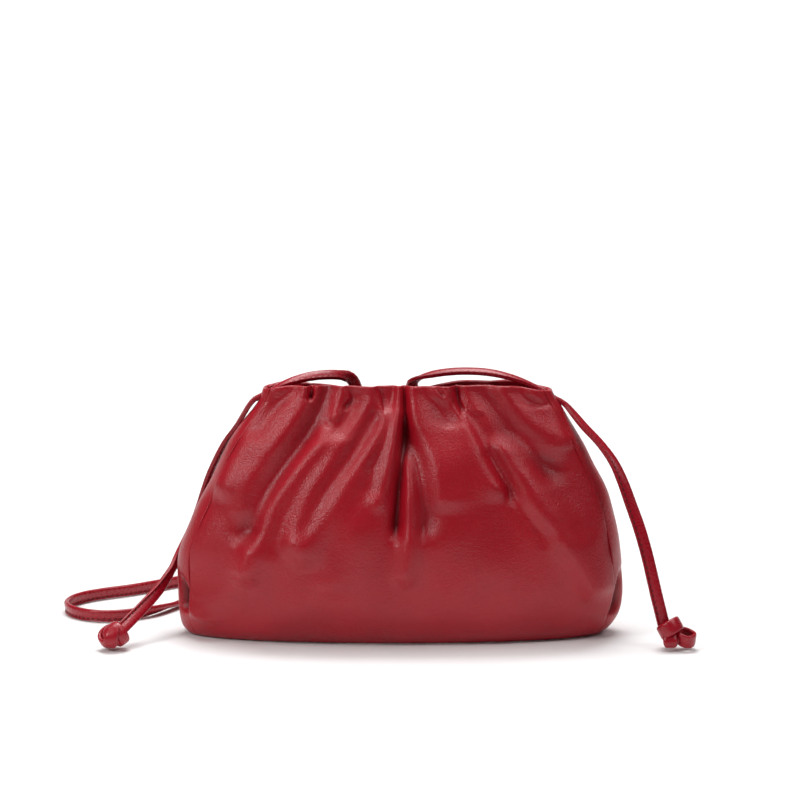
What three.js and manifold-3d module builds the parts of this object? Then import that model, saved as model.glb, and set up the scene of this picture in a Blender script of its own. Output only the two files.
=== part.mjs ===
// A small soft leather pouch with a gathered mouth, standing on its flat base.
// A flat leather lace leaves the mouth corners through two slots, ends in knots at the front,
// and its long stretch lies over the rim, down the back and in a loop on the surface.
// Millimetres, +Z up, +X to the right as seen from the front, +Y to the back.

import * as THREE from 'three';
import { mergeVertices } from 'three/addons/utils/BufferGeometryUtils.js';
import Module from 'manifold-3d';

const wasm = await Module();
wasm.setup();

// Driving sizes of the pouch
const HALF_WIDTH = 112;
const HEIGHT = 128;
const HALF_DEPTH = 38;
const MOUTH_HALF_GAP = 11.5;
const RIM_DIP = { deep: 6.5, at: -10, wide: 28, start: 0.7 };
const WALL = 1.8;
const HEM_WALL = 2.6;
const HEM_HEIGHT = 7;
const FOLD_DEPTH = 6.5;
const FOLD_WIDTH = 7;
const SEAM_GAP = 0.3;
const BASE_GAP = 0.5;
const GUSSET_ANGLE = 21;
const WALL_ROWS = 20;
const ROW_CROWDING = 1.25;
const CORNER_SPREAD = 0.87;
const RIM_GATHER = 0.6;
const GATHER_START = 0.25;
const FOLD_FADE = { start: 0.55, length: 0.6 };
const SIDE_EASE = { start: 0.6, length: 0.2 };
const HEM_EASE = 2;
const MERGE = 1e-3;

// Driving sizes of the lace
const LACE_WIDTH = 6.2;
const LACE_THICK = 2.2;
const LACE_EDGE = 0.25;
const SLOT_CLEARANCE = 0.9;
const SLOT_BELOW_RIM = 8.8;
const SLOT_TALL = 10;
const SLOT_CORNER = 1.8;
const LACE_STEP = 18;
const LACE_END_STEP = 9.5;
const KNOT_RADIUS = 7.5;
const KNOT_SEAT = 1.25;
const TAIL_THICK = 5.6;

// Sections of the pouch from the base to the rim. Heights are shares of HEIGHT, right and left
// shares of HALF_WIDTH, front and back shares of the way from MOUTH_HALF_GAP to HALF_DEPTH, and
// square is the exponent of the section's rounded outline, 2 for an ellipse.
const SECTIONS = [
  { height: 0, right: 0.9, left: 0.955, front: 0.52, back: 0.52, square: 2.1 },
  { height: 0.022, right: 0.938, left: 0.978, front: 0.64, back: 0.64, square: 2.15 },
  { height: 0.05, right: 0.965, left: 0.992, front: 0.75, back: 0.75, square: 2.2 },
  { height: 0.11, right: 0.996, left: 1.0, front: 0.88, back: 0.87, square: 2.25 },
  { height: 0.2, right: 1.0, left: 1.0, front: 0.97, back: 0.96, square: 2.3 },
  { height: 0.33, right: 0.992, left: 0.998, front: 1.0, back: 1.0, square: 2.3 },
  { height: 0.455, right: 0.97, left: 0.945, front: 0.95, back: 0.96, square: 2.3 },
  { height: 0.58, right: 0.925, left: 0.878, front: 0.8, back: 0.83, square: 2.35 },
  { height: 0.71, right: 0.85, left: 0.8, front: 0.58, back: 0.61, square: 2.5 },
  { height: 0.835, right: 0.768, left: 0.72, front: 0.29, back: 0.3, square: 3 },
  { height: 0.93, right: 0.705, left: 0.642, front: 0.07, back: 0.07, square: 3.8 },
  { height: 1, right: 0.673, left: 0.61, front: 0, back: 0, square: 4.2 },
];

// Gathers of the front, each a ridge (depth over 0) or a valley (under 0) along a curve through
// three places. Across are shares of HALF_WIDTH, up shares of HEIGHT, depth a share of
// FOLD_DEPTH, and wide a share of FOLD_WIDTH at the rim and at the lower end.
const FRONT_FOLDS = [
  { across: [-0.58, -0.76, -0.8], up: [0.97, 0.74, 0.6], depth: 0.3, wide: [1, 1.5] },
  { across: [-0.47, -0.56, -0.64], up: [0.98, 0.92, 0.8], depth: -0.35, wide: [0.6, 0.8] },
  { across: [-0.42, -0.6, -0.75], up: [0.97, 0.75, 0.55], depth: 0.5, wide: [0.7, 1.2] },
  { across: [-0.33, -0.52, -0.68], up: [0.98, 0.7, 0.44], depth: -0.8, wide: [0.6, 0.9] },
  { across: [-0.25, -0.5, -0.7], up: [0.97, 0.64, 0.29], depth: 0.55, wide: [0.6, 1.2] },
  { across: [-0.21, -0.35, -0.57], up: [0.96, 0.73, 0.4], depth: -0.55, wide: [0.5, 0.9] },
  { across: [-0.13, -0.32, -0.5], up: [0.97, 0.71, 0.4], depth: 0.7, wide: [0.7, 1.3] },
  { across: [-0.08, -0.24, -0.4], up: [0.96, 0.71, 0.46], depth: -0.45, wide: [0.5, 0.9] },
  { across: [-0.04, -0.16, -0.38], up: [0.97, 0.71, 0.36], depth: 0.45, wide: [0.5, 1] },
  { across: [0.018, 0.009, -0.02], up: [0.99, 0.75, 0.46], depth: -0.9, wide: [0.5, 0.7] },
  { across: [0.02, 0.08, 0.11], up: [0.86, 0.65, 0.46], depth: -0.4, wide: [0.5, 0.9] },
  { across: [0.07, 0.13, 0.18], up: [0.98, 0.8, 0.6], depth: 0.7, wide: [0.9, 1.6] },
  { across: [0.15, 0.19, 0.24], up: [0.97, 0.9, 0.8], depth: -0.35, wide: [0.5, 0.8] },
  { across: [0.22, 0.34, 0.46], up: [0.98, 0.82, 0.6], depth: 0.6, wide: [0.8, 1.4] },
  { across: [0.27, 0.43, 0.65], up: [0.94, 0.7, 0.44], depth: -0.5, wide: [0.5, 0.8] },
  { across: [0.33, 0.55, 0.85], up: [0.97, 0.66, 0.24], depth: 0.4, wide: [0.6, 1.7] },
  { across: [0.385, 0.64, 0.82], up: [0.98, 0.72, 0.45], depth: -0.7, wide: [0.6, 0.9] },
  { across: [0.47, 0.62, 0.72], up: [0.98, 0.83, 0.7], depth: 0.5, wide: [0.8, 1.1] },
  { across: [0.02, 0.03, 0.01], up: [0.74, 0.52, 0.28], depth: 0.25, wide: [0.6, 1.3] },
];

// Gathers of the back, milder and fewer, in the same columns
const BACK_FOLDS = [
  { across: [-0.52, -0.66, -0.76], up: [0.98, 0.78, 0.5], depth: 0.4, wide: [0.9, 1.6] },
  { across: [-0.4, -0.52, -0.64], up: [0.98, 0.74, 0.44], depth: -0.55, wide: [0.7, 1.1] },
  { across: [-0.28, -0.38, -0.48], up: [0.98, 0.76, 0.4], depth: 0.5, wide: [0.8, 1.5] },
  { across: [-0.12, -0.15, -0.2], up: [0.98, 0.72, 0.42], depth: -0.5, wide: [0.7, 1.1] },
  { across: [0.12, 0.16, 0.2], up: [0.98, 0.76, 0.42], depth: -0.45, wide: [0.7, 1.2] },
  { across: [0.27, 0.36, 0.44], up: [0.98, 0.74, 0.38], depth: 0.5, wide: [0.8, 1.6] },
  { across: [0.4, 0.5, 0.6], up: [0.98, 0.78, 0.46], depth: -0.5, wide: [0.7, 1.1] },
  { across: [0.52, 0.64, 0.76], up: [0.98, 0.8, 0.5], depth: 0.35, wide: [0.9, 1.5] },
];

// Inward dents of the sides. Back is the place from front to back as a share of HALF_DEPTH, up,
// tall a share of HEIGHT, depth and wide shares of FOLD_DEPTH and FOLD_WIDTH.
const SIDE_DENTS = [
  { side: 1, back: -0.26, up: 0.2, tall: 0.12, depth: 1.0, wide: 1.0 },
  { side: 1, back: -0.1, up: 0.48, tall: 0.25, depth: 0.15, wide: 1.5 },
  { side: -1, back: -0.26, up: 0.21, tall: 0.13, depth: 1.1, wide: 1.1 },
  { side: -1, back: -0.1, up: 0.48, tall: 0.25, depth: 0.15, wide: 1.5 },
];

// Routes of the lace, chosen by hand, with the direction of its width at each point
const RIGHT_END_ROUTE = [
  { at: [77.8, 0, 119.4], width: [0, 1, 0] },
  { at: [81.8, -0.3, 117.3], width: [0, 1, 0] },
  { at: [86.4, -3.6, 112.6], width: [0.2, 1, 0.1] },
  { at: [91.4, -8, 107], width: [0.4, 1, 0.1] },
  { at: [99.4, -12, 98.8], width: [0.5, 0.9, 0] },
  { at: [105.7, -16, 90.4], width: [0.7, 0.8, 0] },
  { at: [109.9, -19, 81.6], width: [0.9, 0.6, 0] },
  { at: [114.1, -22, 70.2], width: [1, 0.4, 0] },
  { at: [118.2, -25, 58.6], width: [1, 0.2, 0] },
  { at: [121.5, -27.5, 47.2], width: [1, 0.1, 0] },
  { at: [124.3, -30, 35.6], width: [1, 0.1, 0] },
  { at: [127, -32, 24], width: [1, 0.1, 0] },
  { at: [129.2, -33.2, 15.3], width: [1, 0.1, 0] },
];
const LEFT_END_ROUTE = [
  { at: [-72.9, 0, 119.4], width: [0, 1, 0] },
  { at: [-76.2, 0.4, 116.7], width: [0, 1, 0] },
  { at: [-79.6, 3.4, 111.2], width: [0, 1, 0] },
  { at: [-83.4, 7, 104.5], width: [0.1, 1, 0] },
  { at: [-87.4, 8.6, 98], width: [0.2, 1, 0] },
  { at: [-91, 10, 91.4], width: [0.3, 1, 0] },
  { at: [-94, 11.4, 85.2], width: [0.3, 1, 0] },
  { at: [-96.7, 12.8, 79], width: [0.3, 1, 0] },
  { at: [-99.2, 14.2, 72], width: [0.3, 1, 0] },
  { at: [-102, 16.4, 62], width: [0.5, 0.9, 0] },
  { at: [-106, 17, 51], width: [0.6, 0.8, 0] },
  { at: [-111.4, 13, 40], width: [0.5, 0.9, 0] },
  { at: [-115.8, 4.6, 31.4], width: [0.3, 0.9, 0] },
  { at: [-120.9, -5.4, 24.2], width: [0.5, 0.7, -0.3] },
  { at: [-129.4, -19, 16.4], width: [0.7, 0.3, -0.6] },
  { at: [-136.2, -31, 11], width: [0.7, 0, -0.7] },
];
const SHOULDER_ROUTE = [
  { at: [-72.1, 0, 119.8], width: [0, 1, 0] },
  { at: [-65, 0.1, 123.4], width: [0, 1, 0] },
  { at: [-57.5, 0.6, 127.2], width: [0, 1, 0.2] },
  { at: [-50, 1.8, 129.6], width: [0, 1, 0.4] },
  { at: [-43, 3.4, 130.8], width: [0, 1, 0.5] },
  { at: [-35.4, 6, 131], width: [0.1, 1, 0.5] },
  { at: [-29.8, 9.2, 130.2], width: [0.4, 1, 0.3] },
  { at: [-25.6, 13.2, 128.4], width: [0.8, 0.6, 0.1] },
  { at: [-23, 17.4, 124.2], width: [1, 0.2, 0] },
  { at: [-22, 19.6, 117], width: [1, 0, 0] },
  { at: [-25, 26.4, 104], width: [1, 0, 0] },
  { at: [-28, 35, 84], width: [1, 0, 0] },
  { at: [-31, 41, 60], width: [1, 0, 0] },
  { at: [-34, 43, 36], width: [1, 0.1, 0] },
  { at: [-37, 46.5, 18], width: [1, 0.3, 0] },
  { at: [-44, 56, 7], width: [0.8, 0.1, 0.6] },
  { at: [-56, 67, 3.9], width: [0.1, 0, 1] },
  { at: [-74, 76, 3.3], width: [0, 0, 1] },
  { at: [-94, 77, 3.3], width: [0, 0, 1] },
  { at: [-110, 66, 3], width: [0.7, -0.4, 0.5] },
  { at: [-119.6, 48, 2.6], width: [0.8, -0.45, 0.35] },
  { at: [-128, 34, 3.3], width: [0.5, -0.5, 0.7] },
  { at: [-137.5, 25, 3.3], width: [0, 0, 1] },
  { at: [-147, 20.8, 3.3], width: [0, 0, 1] },
  { at: [-156, 21, 3.3], width: [0, 0, 1] },
  { at: [-164.4, 25.4, 3.3], width: [0, 0, 1] },
  { at: [-171, 32.8, 3.3], width: [0, 0, 1] },
  { at: [-174.4, 43, 3.3], width: [0, 0, 1] },
  { at: [-173, 54, 3.3], width: [0, 0, 1] },
  { at: [-167, 64, 3.3], width: [0, 0, 1] },
  { at: [-157.4, 72, 3.3], width: [0, 0, 1] },
  { at: [-144.5, 80, 3.3], width: [0, 0, 1] },
  { at: [-131.2, 91, 3.3], width: [0, 0, 1] },
  { at: [-116, 104, 3.3], width: [0, 0, 1] },
  { at: [-92, 120, 3.3], width: [0, 0, 1] },
  { at: [-60, 132, 3.3], width: [0, 0, 1] },
  { at: [-24, 134, 3.3], width: [0, 0, 1] },
  { at: [11, 127, 3.3], width: [0, 0, 1] },
  { at: [42, 110, 3.3], width: [0, 0, 1] },
  { at: [61, 88, 3.4], width: [0.1, 0, 1] },
  { at: [62, 68, 5.2], width: [0.5, 0.2, 0.8] },
  { at: [54, 54, 12], width: [1, 0.2, 0.2] },
  { at: [45, 46, 26], width: [1, 0, 0] },
  { at: [37, 42.4, 46], width: [1, 0, 0] },
  { at: [29.5, 39.2, 68], width: [1, 0, 0] },
  { at: [22, 32, 90], width: [1, 0, 0] },
  { at: [13.4, 22.4, 108], width: [1, 0, 0] },
  { at: [7.6, 17.6, 119], width: [1, 0, 0] },
  { at: [5.8, 15.2, 124.8], width: [1, 0.3, 0] },
  { at: [8.4, 12, 128], width: [0.8, 0.8, 0] },
  { at: [16.4, 9.8, 130.6], width: [0.2, 1, 0.2] },
  { at: [25, 7.9, 132.1], width: [0, 1, 0.2] },
  { at: [34.4, 6, 132.7], width: [0, 1, 0.2] },
  { at: [45, 4, 132.2], width: [0, 1, 0.2] },
  { at: [55.7, 2, 130], width: [0, 1, 0.1] },
  { at: [63.6, 0.6, 127.2], width: [0, 1, 0] },
  { at: [70.6, 0.1, 123.6], width: [0, 1, 0] },
  { at: [77.3, 0, 119.75], width: [0, 1, 0] },
];

// The knots: the direction from the lace's end to the knot's middle, the middle's height as a
// share of KNOT_RADIUS, and the direction and reach of the tails
const RIGHT_KNOT = { toward: [0.6, -0.2, -0.84], rest: 1.1, tail: [1, -0.12, -0.1], reach: 10.5 };
const LEFT_KNOT = { toward: [-0.51, -0.59, -0.39], rest: 1.03, tail: [-1, -0.5, -0.1], reach: 8 };

// Finishes
const pouchLeather = new THREE.MeshStandardMaterial({ color: 0xa31d2c, roughness: 0.5, metalness: 0 });
const laceLeather = new THREE.MeshStandardMaterial({ color: 0xb02636, roughness: 0.42, metalness: 0 });

// A table's column at a share of the height, on a smooth curve through the rows
function column(rows, name, share) {
  let i = 0;
  while (i < rows.length - 2 && share > rows[i + 1].height) i += 1;
  const slope = (k) => {
    const a = rows[Math.max(k - 1, 0)];
    const b = rows[Math.min(k + 1, rows.length - 1)];
    return (b[name] - a[name]) / (b.height - a.height);
  };
  const span = rows[i + 1].height - rows[i].height;
  const u = (share - rows[i].height) / span;
  const h = 2 * u ** 3 - 3 * u ** 2 + 1;
  const rise = (u ** 3 - 2 * u ** 2 + u) * slope(i);
  const fall = (u ** 3 - u ** 2) * slope(i + 1);
  return h * rows[i][name] + (1 - h) * rows[i + 1][name] + span * (rise + fall);
}

// How far the back's rim is pressed down, where the lace crosses it
function rimDip(x, share) {
  const off = (x - RIM_DIP.at) / RIM_DIP.wide;
  return RIM_DIP.deep * Math.exp(-off * off) * ease((share - RIM_DIP.start) / (1 - RIM_DIP.start));
}

// A point of the unfolded outer surface at an angle round the pouch and a share of its height
function plainPoint(angle, share) {
  const c = Math.cos(angle);
  const s = Math.sin(angle);
  const square = column(SECTIONS, 'square', share);
  const out = Math.abs(c) ** CORNER_SPREAD;
  const side = column(SECTIONS, c > 0 ? 'right' : 'left', share) * HALF_WIDTH;
  const swell = column(SECTIONS, s > 0 ? 'back' : 'front', share);
  const deep = MOUTH_HALF_GAP + swell * (HALF_DEPTH - MOUTH_HALF_GAP);
  const x = side * Math.sign(c) * out;
  const y = deep * Math.sign(s) * Math.max(1 - out ** square, 0) ** (1 / square);
  return new THREE.Vector3(x, y, HEIGHT * share - (s > 0 ? rimDip(x, share) : 0));
}

// The outward direction of the unfolded surface
function plainNormal(angle, share) {
  const turn = 0.02;
  const lift = 0.01;
  const low = Math.max(share - lift, 0);
  const high = Math.min(share + lift, 1);
  const round = plainPoint(angle + turn, share).sub(plainPoint(angle - turn, share));
  const up = plainPoint(angle, high).sub(plainPoint(angle, low));
  return round.cross(up).normalize();
}

// A smooth step from 0 to 1
function ease(value) {
  return THREE.MathUtils.smoothstep(value, 0, 1);
}

// Where a fold's line runs at a height, as a value from the rim (0) to its lower end (1)
function along(fold, share) {
  const [top, middle, end] = fold.up;
  return share > middle
    ? (0.5 * (top - share)) / (top - middle)
    : 0.5 + (0.5 * (middle - share)) / (middle - end);
}

// How far the gathers push the surface out at a point
function foldHeight(folds, point) {
  const across = point.x / HALF_WIDTH;
  const share = point.z / HEIGHT;
  return folds.reduce((sum, fold) => {
    const u = THREE.MathUtils.clamp(along(fold, share), 0, 1.2);
    const [a, b, c] = fold.across;
    const line = a * (1 - u) * (1 - 2 * u) + 4 * b * u * (1 - u) + c * u * (2 * u - 1);
    const wide = THREE.MathUtils.lerp(fold.wide[0], fold.wide[1], Math.min(u, 1)) * FOLD_WIDTH;
    const off = ((across - line) * HALF_WIDTH) / wide;
    const strength = 1 - ease((u - FOLD_FADE.start) / FOLD_FADE.length);
    return sum + fold.depth * FOLD_DEPTH * strength * Math.exp(-off * off);
  }, 0);
}

// How far the side dents pull the surface in at a point
function dentDepth(point) {
  return SIDE_DENTS.filter((dent) => dent.side * point.x > 0).reduce((sum, dent) => {
    const off = (point.y - dent.back * HALF_DEPTH) / (dent.wide * FOLD_WIDTH);
    const rise = (point.z / HEIGHT - dent.up) / dent.tall;
    const outer = ease((Math.abs(point.x) / HALF_WIDTH - SIDE_EASE.start) / SIDE_EASE.length);
    return sum + dent.depth * FOLD_DEPTH * outer * Math.exp(-off * off - rise * rise);
  }, 0);
}

// The folded outer surface, with the sections' own middle
function foldedPoint(angle, share) {
  const point = plainPoint(angle, share);
  const folds = point.y < 0 ? FRONT_FOLDS : BACK_FOLDS;
  const inward = ease(Math.abs(Math.sin(angle)) / SIDE_EASE.start);
  const push = foldHeight(folds, point) * inward - dentDepth(point);
  return point.addScaledVector(plainNormal(angle, share).setZ(0).normalize(), push);
}

// The middle of the folded pouch's bounding box, so that the origin stands at its base's middle
function boxMiddle() {
  const box = new THREE.Box3();
  for (let i = 0; i < 180; i += 1) {
    for (let j = 0; j <= 24; j += 1) {
      box.expandByPoint(foldedPoint((i / 180) * 2 * Math.PI, j / 24));
    }
  }
  return box.getCenter(new THREE.Vector3()).setZ(0);
}
const MIDDLE = boxMiddle();

// The wall's thickness at a height: thicker where the rim is turned over
function wallAt(share) {
  const fromRim = HEIGHT * (1 - share);
  return THREE.MathUtils.lerp(HEM_WALL, WALL, ease((fromRim - HEM_HEIGHT) / HEM_EASE));
}

// A geometry's triangles with shared vertices, ready for booleans
function closed(geometry) {
  geometry.deleteAttribute('normal');
  geometry.deleteAttribute('uv');
  return mergeVertices(geometry, MERGE);
}

// A closed geometry as a solid
function solid(geometry) {
  const bare = closed(geometry);
  return new wasm.Manifold(new wasm.Mesh({
    numProp: 3,
    vertProperties: new Float32Array(bare.attributes.position.array),
    triVerts: new Uint32Array(bare.index.array),
  }));
}

// A solid as a geometry
function geometryOf(body) {
  const mesh = body.getMesh();
  const geometry = new THREE.BufferGeometry();
  geometry.setAttribute('position', new THREE.BufferAttribute(mesh.vertProperties, 3));
  geometry.setIndex(new THREE.BufferAttribute(mesh.triVerts, 1));
  return geometry;
}

// A leather wall about a middle angle, shaped from a box of one cell's thickness. Towards the
// rim its columns draw together as the gathers do, by the share that gather gives.
function wallGeometry(middleDegrees, halfDegrees, columns, gather) {
  const box = new THREE.BoxGeometry(1, 1, 1, columns, WALL_ROWS, 1);
  const places = box.attributes.position;
  const middle = THREE.MathUtils.degToRad(middleDegrees);
  const half = THREE.MathUtils.degToRad(halfDegrees);
  for (let i = 0; i < places.count; i += 1) {
    const share = (places.getY(i) + 0.5) ** ROW_CROWDING;
    const across = 2 * places.getX(i);
    const drawn = gather * ease((share - GATHER_START) / (1 - GATHER_START));
    const angle = middle + half * across * (1 - drawn + drawn * Math.abs(across));
    const point = foldedPoint(angle, share);
    const ahead = foldedPoint(angle + MERGE, share).sub(point).normalize();
    if (across === -1) point.addScaledVector(ahead, SEAM_GAP / 2);
    if (across === 1) point.addScaledVector(ahead, -SEAM_GAP / 2);
    if (places.getZ(i) < 0) point.addScaledVector(plainNormal(angle, share), -wallAt(share));
    point.sub(MIDDLE);
    places.setXYZ(i, point.x, point.y, point.z);
  }
  return closed(box);
}

// The flat base, inside the lower edge of the walls
function baseGeometry(corners) {
  const outline = [];
  for (let i = 0; i < corners; i += 1) {
    const angle = (i / corners) * 2 * Math.PI;
    const point = foldedPoint(angle, 0);
    const outward = plainNormal(angle, 0).setZ(0);
    const inset = WALL * outward.length() + BASE_GAP;
    point.addScaledVector(outward.normalize(), -inset).sub(MIDDLE);
    outline.push(new THREE.Vector2(point.x, point.y));
  }
  return new THREE.ExtrudeGeometry(new THREE.Shape(outline), { depth: WALL, bevelEnabled: false });
}

// The lace's section: a flat band with eased edges
function laceShape() {
  const w = LACE_WIDTH / 2;
  const t = LACE_THICK / 2;
  const cut = LACE_THICK * LACE_EDGE;
  const outline = [
    [w, -t + cut], [w, t - cut], [w - cut, t], [-w + cut, t],
    [-w, t - cut], [-w, -t + cut], [-w + cut, -t], [w - cut, -t],
  ];
  return new THREE.Shape(outline.map(([x, y]) => new THREE.Vector2(x, y)));
}

// The lace's middle line, whose frames turn its width the way the route says
class LaceRoute extends THREE.CatmullRomCurve3 {
  constructor(route) {
    super(route.map(({ at }) => new THREE.Vector3(...at)), false, 'centripetal');
    this.widths = route.map(({ width }) => new THREE.Vector3(...width).normalize());
  }

  computeFrenetFrames(segments) {
    const frames = { tangents: [], normals: [], binormals: [] };
    for (let i = 0; i <= segments; i += 1) {
      const tangent = this.getTangentAt(i / segments);
      const place = this.getUtoTmapping(i / segments) * (this.widths.length - 1);
      const row = Math.min(Math.floor(place), this.widths.length - 2);
      const width = this.widths[row].clone().lerp(this.widths[row + 1], place - row);
      const normal = width.addScaledVector(tangent, -width.dot(tangent)).normalize();
      frames.tangents.push(tangent);
      frames.normals.push(normal);
      frames.binormals.push(tangent.clone().cross(normal));
    }
    return frames;
  }
}

// A stretch of lace along its route
function laceGeometry(route, step) {
  const curve = new LaceRoute(route);
  const steps = Math.round(curve.getLength() / step);
  return new THREE.ExtrudeGeometry(laceShape(), { steps, extrudePath: curve, bevelEnabled: false });
}

// The slot that the lace passes through, a rounded hole along X
function slotCutter(route) {
  const half = LACE_WIDTH / 2 + SLOT_CLEARANCE;
  const rise = SLOT_TALL / 2;
  const r = SLOT_CORNER;
  const hole = new THREE.Shape();
  hole.absarc(rise - r, half - r, r, 0, Math.PI / 2);
  hole.absarc(r - rise, half - r, r, Math.PI / 2, Math.PI);
  hole.absarc(r - rise, r - half, r, Math.PI, 1.5 * Math.PI);
  hole.absarc(rise - r, r - half, r, 1.5 * Math.PI, 2 * Math.PI);
  const cutter = new THREE.ExtrudeGeometry(hole, {
    depth: 4 * LACE_WIDTH,
    bevelEnabled: false,
    curveSegments: 3,
  });
  cutter.translate(0, 0, -2 * LACE_WIDTH).rotateY(Math.PI / 2);
  return cutter.translate(route[0].at[0], route[0].at[1], HEIGHT - SLOT_BELOW_RIM);
}

// A gusset with the slot for the lace cut near its top
function gussetGeometry(middleDegrees, route) {
  const wall = solid(wallGeometry(middleDegrees, GUSSET_ANGLE, 7, 0));
  return geometryOf(wall.subtract(solid(slotCutter(route))));
}

// An overhand knot: a round heart, a band wrapped over it and two short tails
function knotGeometry(route, { toward, rest, tail, reach }) {
  const middle = new THREE.Vector3(...route.at(-1).at);
  middle.addScaledVector(new THREE.Vector3(...toward), KNOT_RADIUS * KNOT_SEAT);
  middle.setZ(KNOT_RADIUS * rest);
  const heart = new THREE.SphereGeometry(KNOT_RADIUS, 12, 8).scale(1, 0.92, 0.9);
  const band = new THREE.TorusGeometry(KNOT_RADIUS * 0.86, LACE_THICK * 0.75, 6, 14);
  band.scale(1, 1, 1.5).rotateX(Math.PI / 3).rotateY(Math.PI / 5);
  const tails = [-1, 1].map((side) => {
    const lobe = new THREE.SphereGeometry(1, 8, 6).scale(reach / 2, TAIL_THICK / 2, TAIL_THICK / 2);
    return lobe.translate(reach / 2, side * TAIL_THICK * 0.3, 0).rotateZ(side * 0.35);
  });
  const whole = [heart, band, ...tails].map(solid).reduce((sum, piece) => sum.add(piece));
  const turned = new THREE.Quaternion().setFromUnitVectors(
    new THREE.Vector3(1, 0, 0),
    new THREE.Vector3(...tail).normalize(),
  );
  return geometryOf(whole).applyQuaternion(turned).translate(...middle);
}

// A named piece
function piece(name, geometry, material) {
  const mesh = new THREE.Mesh(geometry, material);
  mesh.name = name;
  return mesh;
}

const pouch = new THREE.Group();
pouch.add(piece('front_panel', wallGeometry(270, 90 - GUSSET_ANGLE, 54, RIM_GATHER), pouchLeather));
pouch.add(piece('back_panel', wallGeometry(90, 90 - GUSSET_ANGLE, 34, RIM_GATHER / 2), pouchLeather));
pouch.add(piece('right_gusset', gussetGeometry(0, RIGHT_END_ROUTE), pouchLeather));
pouch.add(piece('left_gusset', gussetGeometry(180, LEFT_END_ROUTE), pouchLeather));
pouch.add(piece('base_panel', baseGeometry(54), pouchLeather));

const lace = new THREE.Group();
lace.add(piece('strap_right_end', laceGeometry(RIGHT_END_ROUTE, LACE_END_STEP), laceLeather));
lace.add(piece('strap_left_end', laceGeometry(LEFT_END_ROUTE, LACE_END_STEP), laceLeather));
lace.add(piece('shoulder_strap', laceGeometry(SHOULDER_ROUTE, LACE_STEP), laceLeather));
lace.add(piece('right_knot', knotGeometry(RIGHT_END_ROUTE, RIGHT_KNOT), laceLeather));
lace.add(piece('left_knot', knotGeometry(LEFT_END_ROUTE, LEFT_KNOT), laceLeather));

const bag = new THREE.Group();
bag.add(pouch);
bag.add(lace);

export default bag;
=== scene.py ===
# %% [markdown]
# # A gathered leather pouch, piece by piece
#
# The real object is a small soft pouch of red leather. Its mouth is drawn together into gathers,
# its belly is smooth and full, and one flat lace passes through a slot at each mouth corner and
# ends in two knots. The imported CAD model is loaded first, because it says where every piece
# stands. Each piece below is a finer copy of a CAD node, made in the node's own place.

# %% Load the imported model
import math

import bmesh
import bpy
import numpy as np
from mathutils import Matrix, Vector


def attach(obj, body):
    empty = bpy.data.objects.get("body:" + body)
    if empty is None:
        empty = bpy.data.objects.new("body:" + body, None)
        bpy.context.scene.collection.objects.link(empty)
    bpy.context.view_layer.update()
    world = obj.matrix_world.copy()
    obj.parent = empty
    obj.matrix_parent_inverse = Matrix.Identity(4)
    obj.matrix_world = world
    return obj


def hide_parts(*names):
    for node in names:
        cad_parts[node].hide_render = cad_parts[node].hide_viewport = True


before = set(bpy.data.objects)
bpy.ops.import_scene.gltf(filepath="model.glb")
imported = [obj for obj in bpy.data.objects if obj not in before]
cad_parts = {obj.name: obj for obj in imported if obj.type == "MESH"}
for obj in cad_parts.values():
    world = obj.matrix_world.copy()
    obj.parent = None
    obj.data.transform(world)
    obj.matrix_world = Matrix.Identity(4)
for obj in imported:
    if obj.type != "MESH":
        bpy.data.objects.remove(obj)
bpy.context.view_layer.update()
MM = 0.001
print("CAD nodes:", ", ".join(sorted(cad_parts)))

# %% [markdown]
# ## The camera
#
# The pouch is seen straight from the front and a little from above. A long lens from 1.35 m
# keeps its sides nearly parallel. The camera comes first, because the laces that lie on the
# surface have to stay near what it sees.

# %% Camera
CAMERA_RISE = math.radians(9)
CAMERA_DISTANCE = 1.35
CAMERA_AIM = Vector((-0.00025, 0, 0.119))
FIELD_OF_VIEW = math.radians(16.86)

camera_data = bpy.data.cameras.new("front_camera")
camera_data.sensor_width = 36
camera_data.lens = 18 / math.tan(FIELD_OF_VIEW / 2)
camera = bpy.data.objects.new("front_camera", camera_data)
bpy.context.scene.collection.objects.link(camera)
towards_camera = Vector((0, -math.cos(CAMERA_RISE), math.sin(CAMERA_RISE)))
camera.location = CAMERA_AIM + CAMERA_DISTANCE * towards_camera
camera.rotation_euler = towards_camera.to_track_quat("Z", "Y").to_euler()
bpy.context.scene.camera = camera
print("lens", round(camera_data.lens, 1), "mm")

# %% [markdown]
# ## The lace's routes
#
# One lace of folded leather, 6.2 mm wide and 2.2 mm thick, is drawn through the pouch. Each of its
# three free stretches follows a line through points in millimetres, and at each point a second
# vector says which way the band's width lies. A smooth line through the points is a centripetal
# Catmull-Rom curve: it passes through every point and never makes a loop of its own.

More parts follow.
